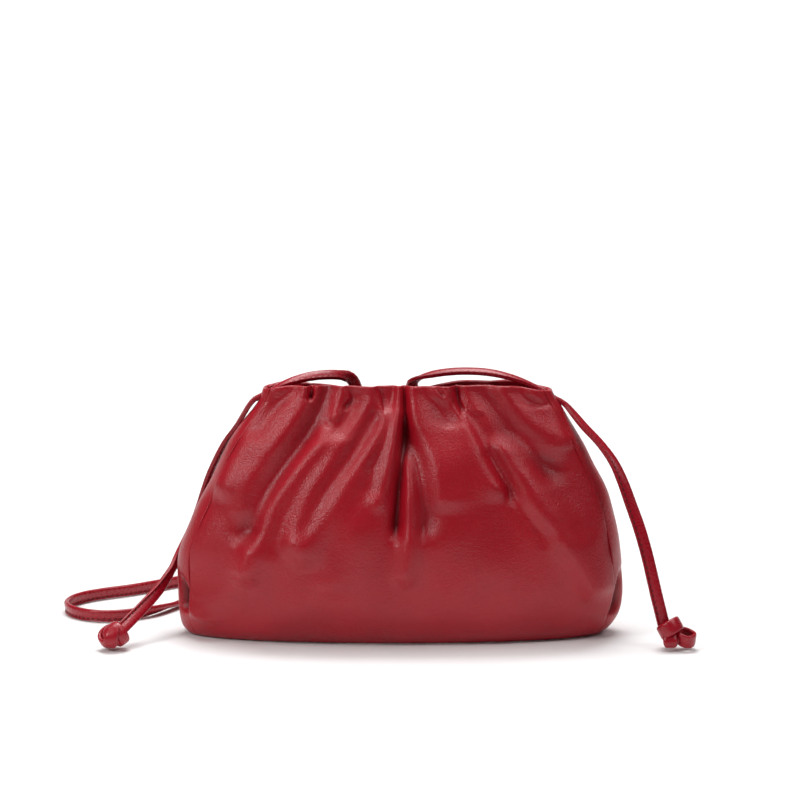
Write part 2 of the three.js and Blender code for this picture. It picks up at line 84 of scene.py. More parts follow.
# %% Routes
RIGHT_END = [
    ((77.8, 0, 119.4), (0, 1, 0)), ((81.8, -0.3, 117.3), (0, 1, 0)),
    ((86.4, -3.6, 112.6), (0.2, 1, 0.1)), ((91.4, -8, 107), (0.4, 1, 0.1)),
    ((99.4, -12, 98.8), (0.5, 0.9, 0)), ((105.7, -16, 90.4), (0.7, 0.8, 0)),
    ((109.9, -19, 81.6), (0.9, 0.6, 0)), ((114.1, -22, 70.2), (1, 0.4, 0)),
    ((118.2, -25, 58.6), (1, 0.2, 0)), ((121.5, -27.5, 47.2), (1, 0.1, 0)),
    ((124.3, -30, 35.6), (1, 0.1, 0)), ((127, -32, 24), (1, 0.1, 0)),
    ((129.2, -33.2, 15.3), (1, 0.1, 0)),
]
LEFT_END = [
    ((-72.9, 0, 119.4), (0, 1, 0)), ((-75.4, 0.4, 116.7), (0, 1, 0)),
    ((-78.7, 3.4, 111.2), (0, 1, 0)), ((-82.7, 7, 104.5), (0.1, 1, 0)),
    ((-87.4, 8.6, 98), (0.2, 1, 0)), ((-91, 10, 91.4), (0.3, 1, 0)),
    ((-94, 11.4, 85.2), (0.3, 1, 0)), ((-96.7, 12.8, 79), (0.3, 1, 0)),
    ((-99.2, 14.2, 72), (0.3, 1, 0)), ((-102, 16.4, 62), (0.5, 0.9, 0)),
    ((-106, 17, 51), (0.6, 0.8, 0)), ((-111.4, 13, 40), (0.5, 0.9, 0)),
    ((-115.8, 4.6, 31.4), (0.3, 0.9, 0)), ((-120.9, -5.4, 24.2), (0.5, 0.7, -0.3)),
    ((-129.4, -19, 16.4), (0.7, 0.3, -0.6)), ((-136.2, -31, 11), (0.7, 0, -0.7)),
]
SHOULDER = [
    ((-72.1, 0, 119.8), (0, 1, 0)), ((-65, 0.1, 123.4), (0, 1, 0)),
    ((-57.5, 0.6, 127.2), (0, 1, 0.2)), ((-50, 1.8, 129.6), (0, 1, 0.4)),
    ((-43, 3.4, 130.8), (0, 1, 0.5)), ((-35.4, 6, 131), (0.1, 1, 0.5)),
    ((-29.8, 9.2, 130.2), (0.4, 1, 0.3)), ((-25.6, 13.2, 128.4), (0.8, 0.6, 0.1)),
    ((-23, 17.4, 124.2), (1, 0.2, 0)), ((-22, 19.6, 117), (1, 0, 0)), ((-25, 26.4, 104), (1, 0, 0)),
    ((-28, 35, 84), (1, 0, 0)), ((-31, 41, 60), (1, 0, 0)), ((-34, 43, 36), (1, 0.1, 0)),
    ((-37, 46.5, 18), (1, 0.3, 0)), ((-44, 56, 7), (0.8, 0.1, 0.6)), ((-56, 67, 3.9), (0.1, 0, 1)),
    ((-74, 76, 3.3), (0, 0, 1)), ((-94, 77, 3.3), (0, 0, 1)), ((-110, 66, 3), (0.7, -0.4, 0.5)),
    ((-119.6, 48, 2.6), (0.8, -0.45, 0.35)), ((-128, 34, 3.3), (0.5, -0.5, 0.7)),
    ((-137.5, 25, 3.3), (0, 0, 1)), ((-147, 20.8, 3.3), (0, 0, 1)), ((-156, 21, 3.3), (0, 0, 1)),
    ((-164.4, 25.4, 3.3), (0, 0, 1)), ((-171, 32.8, 3.3), (0, 0, 1)),
    ((-174.4, 43, 3.3), (0, 0, 1)), ((-173, 54, 3.3), (0, 0, 1)), ((-167, 64, 3.3), (0, 0, 1)),
    ((-157.4, 72, 3.3), (0, 0, 1)), ((-144.5, 80, 3.3), (0, 0, 1)), ((-131.2, 91, 3.3), (0, 0, 1)),
    ((-116, 104, 3.3), (0, 0, 1)), ((-92, 120, 3.3), (0, 0, 1)), ((-60, 132, 3.3), (0, 0, 1)),
    ((-24, 134, 3.3), (0, 0, 1)), ((11, 127, 3.3), (0, 0, 1)), ((42, 110, 3.3), (0, 0, 1)),
    ((61, 88, 3.4), (0.1, 0, 1)), ((62, 68, 5.2), (0.5, 0.2, 0.8)), ((54, 54, 12), (1, 0.2, 0.2)),
    ((45, 46, 26), (1, 0, 0)), ((37, 42.4, 46), (1, 0, 0)), ((29.5, 39.2, 68), (1, 0, 0)),
    ((22, 32, 90), (1, 0, 0)), ((13.4, 22.4, 108), (1, 0, 0)), ((7.6, 17.6, 119), (1, 0, 0)),
    ((5.8, 15.2, 124.8), (1, 0.3, 0)), ((8.4, 12, 128), (0.8, 0.8, 0)),
    ((16.4, 9.8, 130.6), (0.2, 1, 0.2)), ((25, 7.9, 132.1), (0, 1, 0.2)),
    ((34.4, 6, 132.7), (0, 1, 0.2)), ((45, 4, 132.2), (0, 1, 0.2)), ((55.7, 2, 130), (0, 1, 0.1)),
    ((63.6, 0.6, 127.2), (0, 1, 0)), ((70.6, 0.1, 123.6), (0, 1, 0)),
    ((77.3, 0, 119.75), (0, 1, 0)),
]


def smooth_line(points, samples):
    """Points on a centripetal Catmull-Rom curve, samples of them between each two of points."""
    p = np.asarray(points, float)
    p = np.vstack([2 * p[0] - p[1], p, 2 * p[-1] - p[-2]])
    parts = []
    for a, b, c, d in zip(p[:-3], p[1:-2], p[2:-1], p[3:]):
        t1 = max(np.linalg.norm(b - a), 1e-6) ** 0.5
        t2 = t1 + max(np.linalg.norm(c - b), 1e-6) ** 0.5
        t3 = t2 + max(np.linalg.norm(d - c), 1e-6) ** 0.5
        t = np.linspace(t1, t2, samples, endpoint=False)[:, None]
        ab, bc, cd = (t1 - t) / t1 * a + t / t1 * b, (t2 - t) * b + (t - t1) * c, (t3 - t) * c + (t - t2) * d
        bc, cd = bc / (t2 - t1), cd / (t3 - t2)
        abc = ((t2 - t) * ab + t * bc) / t2
        bcd = ((t3 - t) * bc + (t - t1) * cd) / (t3 - t1)
        parts.append(((t2 - t) * abc + (t - t1) * bcd) / (t2 - t1))
    return np.vstack(parts + [p[-2:-1]])


def even_steps(line, step):
    """The same line as points about a step apart, with their places along the line's rows."""
    far = np.concatenate([[0], np.cumsum(np.linalg.norm(np.diff(line[:, :3], axis=0), axis=1))])
    places = np.linspace(0, far[-1], int(round(far[-1] / step)) + 1)
    return np.stack([np.interp(places, far, column) for column in line.T], 1), far[-1]


def lace_frames(route, step=2.4):
    """Along a route: middles, directions, widths and the real length, in millimetres."""
    line = np.hstack([
        smooth_line([at for at, _ in route], 24),
        np.vstack([
            np.linspace(a, b, 24, endpoint=False)
            for (_, a), (_, b) in zip(route[:-1], route[1:])
        ] + [np.array([route[-1][1]], float)]),
    ])
    rows, length = even_steps(line, step)
    middles, widths = rows[:, :3], rows[:, 3:]
    ahead = np.gradient(middles, axis=0)
    ahead /= np.linalg.norm(ahead, axis=1)[:, None]
    widths -= (widths * ahead).sum(1)[:, None] * ahead
    widths /= np.linalg.norm(widths, axis=1)[:, None]
    return middles, ahead, widths, length


for name, route in (("right end", RIGHT_END), ("left end", LEFT_END), ("shoulder", SHOULDER)):
    print("lace,", name, round(lace_frames(route)[3]), "mm")

# %% [markdown]
# ## The lace's section
#
# A folded lace is a strip turned over on itself and stitched along its open edge. So one side
# of its section is round, the other shows two layers with a fine groove between them, and each
# face has a shallow channel where the thread pulls the leather in. A ring of vertices in that
# shape is extruded ring by ring along the route, which turns it exactly as the route says.

# %% Lace section and sweep
LACE_WIDTH = 6.2
LACE_THICK = 2.2
STITCH_LINE = -1.95
END_REACH = 0.3


def lace_section():
    """The section's outline as (across, out) pairs in millimetres, anticlockwise."""
    round_side = 1.36
    turn = np.radians(np.linspace(-96, 96, 9))
    fold = LACE_WIDTH / 2 - round_side
    outline = [(fold + round_side * math.cos(a), round_side * math.sin(a)) for a in turn]
    upper = [
        (0.9, 1.3), (0.1, 1.16), (-0.6, 0.94), (-1.2, 0.7), (-1.65, 0.5), (STITCH_LINE, 0.46),
        (-2.25, 0.64), (-2.5, 0.96), (-2.75, 1.04), (-2.98, 0.8), (-3.06, 0.36), (-2.96, 0),
    ]
    lower = [(x, -y) for x, y in reversed(upper[:-1])]
    return outline + upper + lower


def ring_matrix(middle, ahead, width):
    """The transform from the section's plane to a place on the route."""
    out = np.cross(ahead, width)
    turned = Matrix([[*row] for row in np.stack([width, out, ahead], 1)]).to_4x4()
    return Matrix.Translation(Vector(middle)) @ turned


def swept_band(bm, section, middles, ahead, widths, scales=None):
    """Extrudes a section ring by ring along a line and closes both ends."""
    ring = bmesh.ops.create_circle(bm, cap_ends=False, radius=1, segments=len(section))["verts"]
    for vert, (x, y) in zip(ring, section):
        vert.co = (x, y, 0)
    edges = [e for e in {e for v in ring for e in v.link_edges}]
    last = Matrix.Identity(4)
    ends = [ring]
    for k in range(len(middles)):
        here = ring_matrix(middles[k], ahead[k], widths[k])
        if scales is not None:
            here = here @ Matrix.Diagonal((*scales[k], 1, 1))
        if k:
            grown = bmesh.ops.extrude_edge_only(bm, edges=edges)["geom"]
            ring = [g for g in grown if isinstance(g, bmesh.types.BMVert)]
            edges = [g for g in grown if isinstance(g, bmesh.types.BMEdge)]
            keep = set(ring)
            edges = [e for e in edges if e.verts[0] in keep and e.verts[1] in keep]
        bmesh.ops.transform(bm, matrix=here @ last.inverted(), verts=ring)
        last = here
    ends.append(ring)
    for ring in ends:
        rim = [e for e in {e for v in ring for e in v.link_edges} if len(e.link_faces) == 1]
        bmesh.ops.holes_fill(bm, edges=rim, sides=0)
        for edge in rim:
            edge.smooth = False


def finished(name, bm, smooth=True):
    """A bmesh in millimetres as an object in metres that rides on the only body."""
    bmesh.ops.recalc_face_normals(bm, faces=bm.faces)
    bmesh.ops.scale(bm, vec=(MM, MM, MM), verts=bm.verts)
    mesh = bpy.data.meshes.new(name)
    bm.to_mesh(mesh)
    bm.free()
    mesh.polygons.foreach_set("use_smooth", [smooth] * len(mesh.polygons))
    piece = bpy.data.objects.new(name, mesh)
    bpy.context.scene.collection.objects.link(piece)
    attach(piece, "root")
    return piece


def lace_piece(name, route):
    """A stretch of lace, with the points that it follows in metres and its length."""
    middles, ahead, widths, length = lace_frames(route)
    bm = bmesh.new()
    middles[0] -= END_REACH * ahead[0]
    middles[-1] += END_REACH * ahead[-1]
    swept_band(bm, lace_section(), middles, ahead, widths)
    piece = finished(name, bm)
    print(name, len(piece.data.polygons), "faces,", round(length), "mm")
    return piece, (middles * MM).tolist(), length * MM


right_end, right_path, right_length = lace_piece("right_end_lace", RIGHT_END)
left_end, left_path, left_length = lace_piece("left_end_lace", LEFT_END)
shoulder, shoulder_path, shoulder_length = lace_piece("shoulder_lace", SHOULDER)

# %% [markdown]
# ## The stitches
#
# Thread shows on both faces of the lace as short slanting ticks, one every 3 mm, pressed into
# the channel near the open edge. Each tick is a small ball drawn out long. There are hundreds,
# so each keeps only twenty faces.

# %% Stitches
STITCH_PITCH = 2.9
STITCH_LENGTH = 2.3
STITCH_THICK = 0.75
STITCH_HEIGHT = 0.6
STITCH_SLANT = math.radians(28)


def stitch_piece(name, route):
    """Thread ticks on both faces of a stretch of lace."""
    middles, ahead, widths, _ = lace_frames(route, STITCH_PITCH)
    bm = bmesh.new()
    for middle, along, width in zip(middles[1:-1], ahead[1:-1], widths[1:-1]):
        out = np.cross(along, width)
        for face in (1, -1):
            tick = bmesh.ops.create_icosphere(bm, subdivisions=1, radius=1)["verts"]
            shape = Matrix.Diagonal((STITCH_THICK / 2, STITCH_THICK / 2, STITCH_LENGTH / 2, 1))
            slant = Matrix.Rotation(face * STITCH_SLANT, 4, "Y")
            place = middle + STITCH_LINE * width + face * STITCH_HEIGHT * out
            bmesh.ops.transform(bm, matrix=ring_matrix(place, along, width) @ slant @ shape, verts=tick)
    return finished(name, bm)


right_stitches = stitch_piece("right_end_stitches", RIGHT_END)
left_stitches = stitch_piece("left_end_stitches", LEFT_END)
shoulder_stitches = stitch_piece("shoulder_stitches", SHOULDER)
print("stitch faces:", sum(len(o.data.polygons) for o in (right_stitches, left_stitches, shoulder_stitches)))

# %% [markdown]
# ## The pouch's form
#
# The pouch is a soft shell. At every height its outline is a rounded oblong, wide and deep at
# the belly and long and narrow at the mouth. The table gives that outline from the base to the
# rim, and smooth curves run through its rows. Heights are shares of the full height, right and
# left shares of the half width, front and back shares of the swelling beyond the mouth, and
# square is the exponent of the rounded outline.

# %% Sections
HALF_WIDTH, HEIGHT, HALF_DEPTH, MOUTH_HALF_GAP = 112, 128, 38, 11.5
FORM_MIDDLE = np.array([0, -0.36, 0])
CORNER_SPREAD = 0.87
SECTIONS = np.array([
    # height, right, left, front, back, square
    (0, 0.9, 0.955, 0.52, 0.52, 2.1),
    (0.022, 0.938, 0.978, 0.64, 0.64, 2.15),
    (0.05, 0.965, 0.992, 0.75, 0.75, 2.2),
    (0.11, 0.996, 1.0, 0.88, 0.87, 2.25),
    (0.2, 1.0, 1.0, 0.97, 0.96, 2.3),
    (0.33, 0.992, 0.998, 1.0, 1.0, 2.3),
    (0.455, 0.97, 0.945, 0.95, 0.96, 2.3),
    (0.58, 0.925, 0.878, 0.8, 0.83, 2.35),
    (0.71, 0.85, 0.8, 0.58, 0.61, 2.5),
    (0.835, 0.768, 0.72, 0.29, 0.3, 3),
    (0.93, 0.705, 0.642, 0.07, 0.07, 3.8),
    (1, 0.673, 0.61, 0, 0, 4.2),
])
RIGHT, LEFT, FRONT, BACK, SQUARE = range(1, 6)


def column(which, share):
    """A column of the table at any height, on a smooth curve through its rows."""
    at, value = SECTIONS[:, 0], SECTIONS[:, which]
    slope = np.gradient(value, at)
    slope[1:-1] = (value[2:] - value[:-2]) / (at[2:] - at[:-2])
    share = np.clip(share, 0, 1)
    i = np.clip(np.searchsorted(at, share, side="right") - 1, 0, len(at) - 2)
    span = at[i + 1] - at[i]
    u = (share - at[i]) / span
    h = 2 * u**3 - 3 * u**2 + 1
    return (
        h * value[i] + (1 - h) * value[i + 1]
        + span * ((u**3 - 2 * u**2 + u) * slope[i] + (u**3 - u**2) * slope[i + 1])
    )


def ease(value):
    """A smooth step from 0 to 1."""
    value = np.clip(value, 0, 1)
    return value * value * (3 - 2 * value)


def rim_dip(x, share):
    """How far the back's rim is pressed down where the lace crosses it."""
    return 6.5 * np.exp(-(((x + 10) / 28) ** 2)) * ease((share - 0.7) / 0.3)


def plain_point(angle, share):
    """The unfolded outer surface at an angle round the pouch and a share of its height."""
    c, s = np.cos(angle), np.sin(angle)
    square = column(SQUARE, share)
    out = np.abs(c) ** CORNER_SPREAD
    side = np.where(c > 0, column(RIGHT, share), column(LEFT, share)) * HALF_WIDTH
    swell = np.where(s > 0, column(BACK, share), column(FRONT, share))
    deep = MOUTH_HALF_GAP + swell * (HALF_DEPTH - MOUTH_HALF_GAP)
    x = side * np.sign(c) * out
    y = deep * np.sign(s) * np.maximum(1 - out**square, 0) ** (1 / square)
    return np.stack([x, y, HEIGHT * share - np.where(s > 0, rim_dip(x, share), 0)], -1)


def plain_normal(angle, share):
    """The outward direction of the unfolded surface."""
    turn, lift = 0.02, 0.01
    round_it = plain_point(angle + turn, share) - plain_point(angle - turn, share)
    up = plain_point(angle, np.minimum(share + lift, 1)) - plain_point(angle, np.maximum(share - lift, 0))
    normal = np.cross(round_it, up)
    return normal / np.linalg.norm(normal, axis=-1, keepdims=True)


belly = plain_point(np.array([0, math.pi / 2, math.pi, 1.5 * math.pi]), np.full(4, 0.33))
print("belly:", np.round(np.ptp(belly, axis=0)[:2]), "mm")

# %% [markdown]
# ## The gathers of the front
#
# Where the mouth is drawn together the spare leather rises into rounded ridges with sharp
# valleys between them. They fan out from the rim and die away on the belly. Each row below is
# one ridge or valley, measured from the real pouch: its line as (across, height) points in
# millimetres, its lift, how wide it is to its left and to its right at the rim, how much wider
# it grows by its lower end, and how sharp it is. A power of 2 is a soft wave, and 1 is a crease.

# %% Front gathers
FRONT_FOLDS = [
    # line, lift, left, right, grow, power
    ([(-63.8, 124.5), (-74.8, 110.7), (-83.7, 93.3), (-88.7, 76.3)], 2, 8, 6, 1.6, 2),
    ([(-51.8, 126.2), (-61.8, 118.3), (-70.6, 105.3)], -1.8, 4.5, 3.5, 1.6, 1.8),
    ([(-48.3, 124.8), (-57.2, 115.1), (-68.6, 103), (-78.1, 92.5), (-86.6, 78.9)], 2, 4, 4.5, 2, 2),
    ([(-44.4, 121.5), (-49.8, 113.8), (-57.1, 104.3), (-65.5, 93.2), (-72.4, 81.5), (-77.3, 67)],
     2.6, 4, 4.5, 2, 2),
    ([(-36.9, 125.9), (-41.8, 113.9), (-49.1, 99.8), (-57.5, 88.8), (-65.3, 77.1), (-71.3, 64.5),
      (-74.2, 56.2)], -4.6, 5, 4, 1.7, 2),
    ([(-28.5, 125.4), (-32.4, 112.5)], 1.6, 3, 3.4, 1.2, 2),
    ([(-34.9, 118.6), (-35.8, 109.3)], -1, 2.5, 2.5, 1.2, 2),
    ([(-36.8, 102.3), (-45.6, 94.7), (-55.4, 82.3), (-64.3, 68.6), (-70.7, 53.9), (-76.8, 37)],
     4.6, 5, 6.4, 1.4, 2),
    ([(-24, 115.3), (-28.9, 106.1), (-38.7, 93.9), (-48.5, 81.1), (-56.8, 66.6), (-61.8, 51.9)],
     -2, 4.5, 4.5, 1.8, 2),
    ([(-13.6, 123.4), (-19.1, 114), (-27.4, 102.4), (-35.7, 90.7), (-43, 80.2), (-48.4, 68.3),
      (-53.8, 52.2)], 3.6, 4.8, 5.4, 1.5, 2),
    ([(-9.2, 120.1), (-14.1, 110.7), (-22.4, 97.8), (-32.2, 83.7), (-40.5, 70.8), (-46.4, 59.7)],
     -2, 3.8, 3.8, 1.7, 2),
    ([(-9.2, 118.6), (-7.2, 111.6), (-12.1, 102.4), (-19.4, 90.8), (-27.3, 81), (-37.1, 66.6),
      (-43.4, 55), (-47.2, 46.5)], 3.8, 4.2, 6.4, 1.7, 2),
    ([(-14, 74), (-22, 60), (-28.5, 46), (-33.5, 32)], 2.2, 7, 11, 1.1, 2),
    ([(-3.7, 123.4), (-5.7, 109.3), (-9.1, 98.7), (-14, 89.5)], -1.8, 2.5, 2.5, 1.7, 1.8),
    ([(0.2, 125.9), (-1.2, 111.6), (-3.7, 97.8), (-7.1, 84.8), (-11, 74.5)], 2.8, 2.8, 2, 2.2, 2),
    ([(1.7, 126.9), (2.2, 109.3), (1.2, 95.5), (-0.7, 79.2), (-2.2, 60.2)], -6.4, 2, 2.2, 1.6, 1.4),
    ([(2.2, 109.3), (5.7, 97.8), (9.1, 83.9), (11.5, 69.7), (11.5, 60.2)], -3.2, 3.2, 3.6, 1.9, 1.7),
    ([(2.7, 93.2), (4.2, 76.8), (4.2, 57.8), (2.2, 37)], 4, 3.6, 4.4, 1.5, 2),
    ([(4.2, 124.9), (8.2, 111.6), (13.6, 102.4), (18.4, 90.9), (21, 74)], 3.6, 4.4, 9, 1.8, 2),
    ([(12.6, 123.4), (18.6, 117.7), (24, 110.7)], -1.8, 3, 3.5, 1.6, 1.8),
    ([(22.5, 124.9), (29.5, 116.3), (35.8, 104.6), (42.1, 93), (49, 79.7)], 3, 7, 3.4, 1.8, 2),
    ([(28.5, 120), (34.4, 111.6), (40.7, 101.3), (47, 90.1), (54.4, 78.1)], -2.6, 2.2, 4.2, 1.6, 1.8),
    ([(44, 95), (54.4, 78.1), (62.3, 67.9), (71.2, 56.4)], -2, 3, 4.4, 1.4, 2),
    ([(32.5, 124.9), (37.9, 115.3)], 1.2, 3, 3, 1.2, 2),
    ([(49.1, 99.8), (58.9, 84.1), (63.8, 73.6), (76.2, 58.6), (86.4, 43), (94.2, 27)],
     4.4, 4.4, 11, 1.4, 2),
    ([(41.4, 124.9), (49.3, 116.2), (57.1, 105.8), (65, 98.1), (74.4, 86)], -3, 6, 5, 1.5, 2),
    ([(70, 93), (82.4, 78.8), (86.9, 68.9), (89.9, 57.5)], -1.4, 8, 7, 1.2, 2),
    ([(50.3, 124.8), (57.2, 115.6), (67.1, 106), (75.5, 98.1)], 2.4, 3.8, 5, 1.7, 2),
    ([(60.3, 124.2), (69.2, 118.2)], -1.8, 3, 3, 1.3, 1.8),
    ([(67.2, 125.5), (74.2, 115.6), (82.2, 102.3)], 2.4, 5, 5, 1.6, 2),
    # the small tucks at the rim
    ([(-44, 128), (-44.8, 121.8)], -5, 1.7, 1.7, 1, 2),
    ([(-26.5, 127), (-24, 122), (-27, 118)], -2, 0.9, 3, 1.2, 1.6),
    ([(-11.4, 127), (-9, 122.5), (-8, 117)], -2, 0.9, 2.6, 1.2, 1.6),
    ([(27.6, 127), (28.6, 121), (30.5, 116)], -2.6, 1.5, 1.2, 1.1, 1.6),
    ([(17.6, 128), (21, 123.5)], -1.8, 1.6, 1.4, 1, 1.8),
    # the crease below the left hollow
    ([(-111, 20.5), (-105.5, 15.8), (-98, 10.5)], 2.4, 2, 3.4, 1.3, 1.6),
]
BACK_FOLDS = [
    ([(-58, 125), (-74, 100), (-85, 64)], 2.6, 7, 7, 1.7, 2),
    ([(-45, 125), (-58, 95), (-72, 56)], -3.6, 5, 4, 1.7, 1.5),
    ([(-31, 125), (-43, 97), (-54, 51)], 3.2, 6, 6, 1.8, 2),
    ([(-13, 125), (-17, 92), (-22, 54)], -3.2, 4.5, 4.5, 1.7, 1.5),
    ([(0, 124), (1, 98), (-1, 70)], 2.4, 5, 5, 1.7, 2),
    ([(13, 125), (18, 97), (22, 54)], -3, 5, 4.5, 1.7, 1.5),
    ([(30, 125), (40, 95), (49, 49)], 3.2, 6, 6, 1.8, 2),
    ([(45, 125), (56, 100), (67, 59)], -3.4, 4.5, 5, 1.7, 1.5),
    ([(58, 125), (72, 102), (85, 64)], 2.4, 7, 7, 1.6, 2),
]


def gathers(folds, x, z):
    """How far the gathers push the surface out at (x, z), in millimetres."""
    total = np.zeros_like(x)
    for line, lift, left, right, grow, power in folds:
        path = smooth_line(line, 12)[::-1]
        low, high = line[-1][1], line[0][1]
        at = np.interp(z, path[:, 1], path[:, 0])
        slope = np.interp(z, path[:, 1], np.gradient(path[:, 0], path[:, 1]))
        down = np.clip((high - z) / (high - low), 0, 1.3)
        off = (x - at) / np.sqrt(1 + slope**2)
        pointed = 1 - 0.3 * ease((down - 0.8) / 0.4)
        width = np.where(off < 0, left, right) * (1 + (grow - 1) * np.minimum(down, 1)) * pointed
        soft = min(0.4 * (high - low), 11)
        fade = 1 - ease((low + 0.2 * soft - z) / soft)
        if high < 120:
            fade = fade * (1 - ease((z - high + 3) / 10))
        fade = fade * (0.85 + 0.3 * np.minimum(down, 1))
        total += lift * fade * np.exp(-((np.abs(off) / width) ** power))
    return total


sample = gathers(FRONT_FOLDS, np.linspace(-70, 70, 141), np.full(141, 110.0))
print("front gathers at 110 mm: from", round(sample.min(), 1), "to", round(sample.max(), 1), "mm")

# %% [markdown]
# ## The folded-in sides
#
# Low on each side the gusset is folded inwards behind the front seam, so that the seam stands
# proud as a lip. Each row gives the side, where the hollow starts from front to back and how that
# start bends back towards the top, its middle height and half height, how far back it reaches and
# its depth. The mouth's corners also sink a little, as soft corners do.

# %% Side hollows
SIDE_HOLLOWS = [
    # side, start y, bend, z, tall, reach, depth
    (1, -14.8, 0.032, 22.5, 9.5, 11, 8),
    (-1, -15.2, 0.03, 22, 7, 7, 11),
]
LIP_WIDTH = 1.8
CORNER_DROP, CORNER_START = 3.2, 52


def hollows(point):
    """How far the side hollows pull the surface in."""
    total = np.zeros(point.shape[:-1])
    for side, start, bend, z, tall, reach, depth in SIDE_HOLLOWS:
        up = point[..., 2] - z
        back = point[..., 1] - start - bend * np.maximum(up, 0) ** 2
        behind = ease(side * point[..., 0] / 20) * ease(back / LIP_WIDTH) * np.exp(-((np.abs(back) / reach) ** 4))
        total += depth * behind * np.exp(-((up / tall) ** 4))
    return total


def ripple(x, z, seed, size, height):
    """Soft unevenness of hand-worked leather: a few crossed waves about size apart."""
    rng = np.random.default_rng(seed)
    total = np.zeros_like(x)
    for _ in range(9):
        angle, phase = rng.uniform(0, math.pi), rng.uniform(0, 2 * math.pi)
        wave = size * rng.uniform(0.7, 1.6)
        total += np.sin((x * math.cos(angle) + z * math.sin(angle)) * 2 * math.pi / wave + phase)
    return height * total / 3


# %% [markdown]
# ## The walls
#
# A leather wall starts as a flat grid. Half of its rows become the outer face and half the inner
# face, and the two meet in a rounded edge at the rim, at the seams and at the bottom. Near an
# edge the rows stand closer together, so that the edge is round. A modifier could give the wall
# its thickness, but this way the rim can be thicker, where the leather is turned over, and the
# seams can sink in a little, as sewn seams do.

# %% Wall builder
WALL, HEM_WALL, HEM_HEIGHT = 1.8, 2.6, 7
RIM_GATHER, GATHER_START = 0.6, 0.25
SEAM_SINK, SEAM_REACH, SEAM_ROUND = 0.04, 1.2, 0.06
EDGE_STEPS = 4


def stations(count, length, radius):
    """Places from 0 to 1 along a side, close together near both ends, and how full the wall is."""
    turn = np.linspace(0, math.pi / 2, EDGE_STEPS + 1)
    near = radius / length * (1 - np.cos(turn))
    middle = np.linspace(near[-1], 1 - near[-1], count - 2 * EDGE_STEPS + 1)[1:-1]
    place = np.concatenate([near, middle, 1 - near[::-1]])
    full = np.concatenate([np.sin(turn), np.ones(len(middle)), np.sin(turn[::-1])])
    return place, full


def folded_surface(angle, share, seed):
    """The outer surface with its gathers and hollows, and how deep each place lies, which sets its painted shade."""
    point = plain_point(angle, share)
    front = point[..., 1] < 0
    x, z = point[..., 0], point[..., 2]
    push = np.where(front, gathers(FRONT_FOLDS, x, z), gathers(BACK_FOLDS, x, z))
    push = push * ease(np.abs(np.sin(angle)) / 0.6)
    flat = plain_normal(angle, share)
    flat[..., 2] = 0
    flat /= np.linalg.norm(flat, axis=-1, keepdims=True)
    soft = ripple(x, z, seed, 34, 0.5) * ease(share / 0.1)
    sunk = hollows(point)
    point = point + flat * (push + soft - sunk)[..., None]
    point[..., 2] -= CORNER_DROP * ease((np.abs(x) - CORNER_START) / 26) * ease((share - 0.9) / 0.1)
    # The hollows count 1.5 times in that depth, so that their painted shade is darker than their depth alone gives.
    return point, push - 1.5 * sunk


def wall_mesh(name, middle, half, columns, rows, gather, length):
    """A wall about a middle angle, in degrees, as a closed mesh with a 'gather' attribute."""
    bm = bmesh.new()
    bmesh.ops.create_grid(bm, x_segments=columns, y_segments=2 * rows, size=1)
    mesh = bpy.data.meshes.new(name)
    bm.to_mesh(mesh)
    bm.free()
    flat = np.empty(len(mesh.vertices) * 3)
    mesh.vertices.foreach_get("co", flat)
    flat = flat.reshape(-1, 3)
    i = np.rint((flat[:, 0] + 1) / 2 * columns).astype(int)
    j = np.rint((flat[:, 1] + 1) * rows).astype(int) - rows
    across_place, across_full = stations(columns, length, SEAM_ROUND)
    down_place, down_full = stations(rows, HEIGHT, WALL / 2)
    across = 2 * across_place[i] - 1
    share = 1 - down_place[np.abs(j)]
    full = np.minimum(across_full[i], down_full[np.abs(j)]) * np.sign(j)
    drawn = gather * ease((share - GATHER_START) / (1 - GATHER_START))
    angle = np.radians(middle) + np.radians(half) * across * (1 - drawn + drawn * np.abs(across))
    point, push = folded_surface(angle, share, int(middle))
    normal = plain_normal(angle, share)
    from_rim = HEIGHT * (1 - share)
    thick = HEM_WALL + (WALL - HEM_WALL) * ease((from_rim - HEM_HEIGHT) / 2)
    from_seam = (1 - np.abs(across)) * length / 2
    sink = SEAM_SINK * np.exp(-((from_seam / SEAM_REACH) ** 2))
    point = point - normal * (thick * (1 - full) / 2 + sink)[:, None] - FORM_MIDDLE
    point[:, 2] = np.maximum(point[:, 2], 0.02)
    mesh.vertices.foreach_set("co", point.ravel())
    # The 'gather' attribute holds these depths, and the pouch leather turns them into painted shade.
    heights = mesh.attributes.new("gather", "FLOAT", "POINT")
    heights.data.foreach_set("value", push.astype(np.float32))
    bm = bmesh.new()
    bm.from_mesh(mesh)
    bmesh.ops.remove_doubles(bm, verts=bm.verts, dist=0.001)
    piece = finished(name, bm)
    print(name, len(piece.data.polygons), "faces")
    return piece


# %% [markdown]
# ## Front, back and gussets
#
# The front carries most of the gathers and gets the finest grid. The back is calmer, and the
# narrow gussets join the two. The seams stand 21 degrees either side of the pouch's long axis.

# %% Four walls
GUSSET_ANGLE = 21
front = wall_mesh("front_wall", 270, 90 - GUSSET_ANGLE, 300, 130, RIM_GATHER, 240)
back = wall_mesh("back_wall", 90, 90 - GUSSET_ANGLE, 160, 90, RIM_GATHER / 2, 240)
right_gusset = wall_mesh("right_gusset_wall", 0, GUSSET_ANGLE, 40, 90, 0, 33)
left_gusset = wall_mesh("left_gusset_wall", 180, GUSSET_ANGLE, 40, 90, 0, 33)

# %% [markdown]
# ## The base
#
# The pouch stands on a flat oval panel inside the lower edge of its walls. A circle of vertices
# takes the walls' outline, a little inside them, and becomes a thin slab with rounded edges.

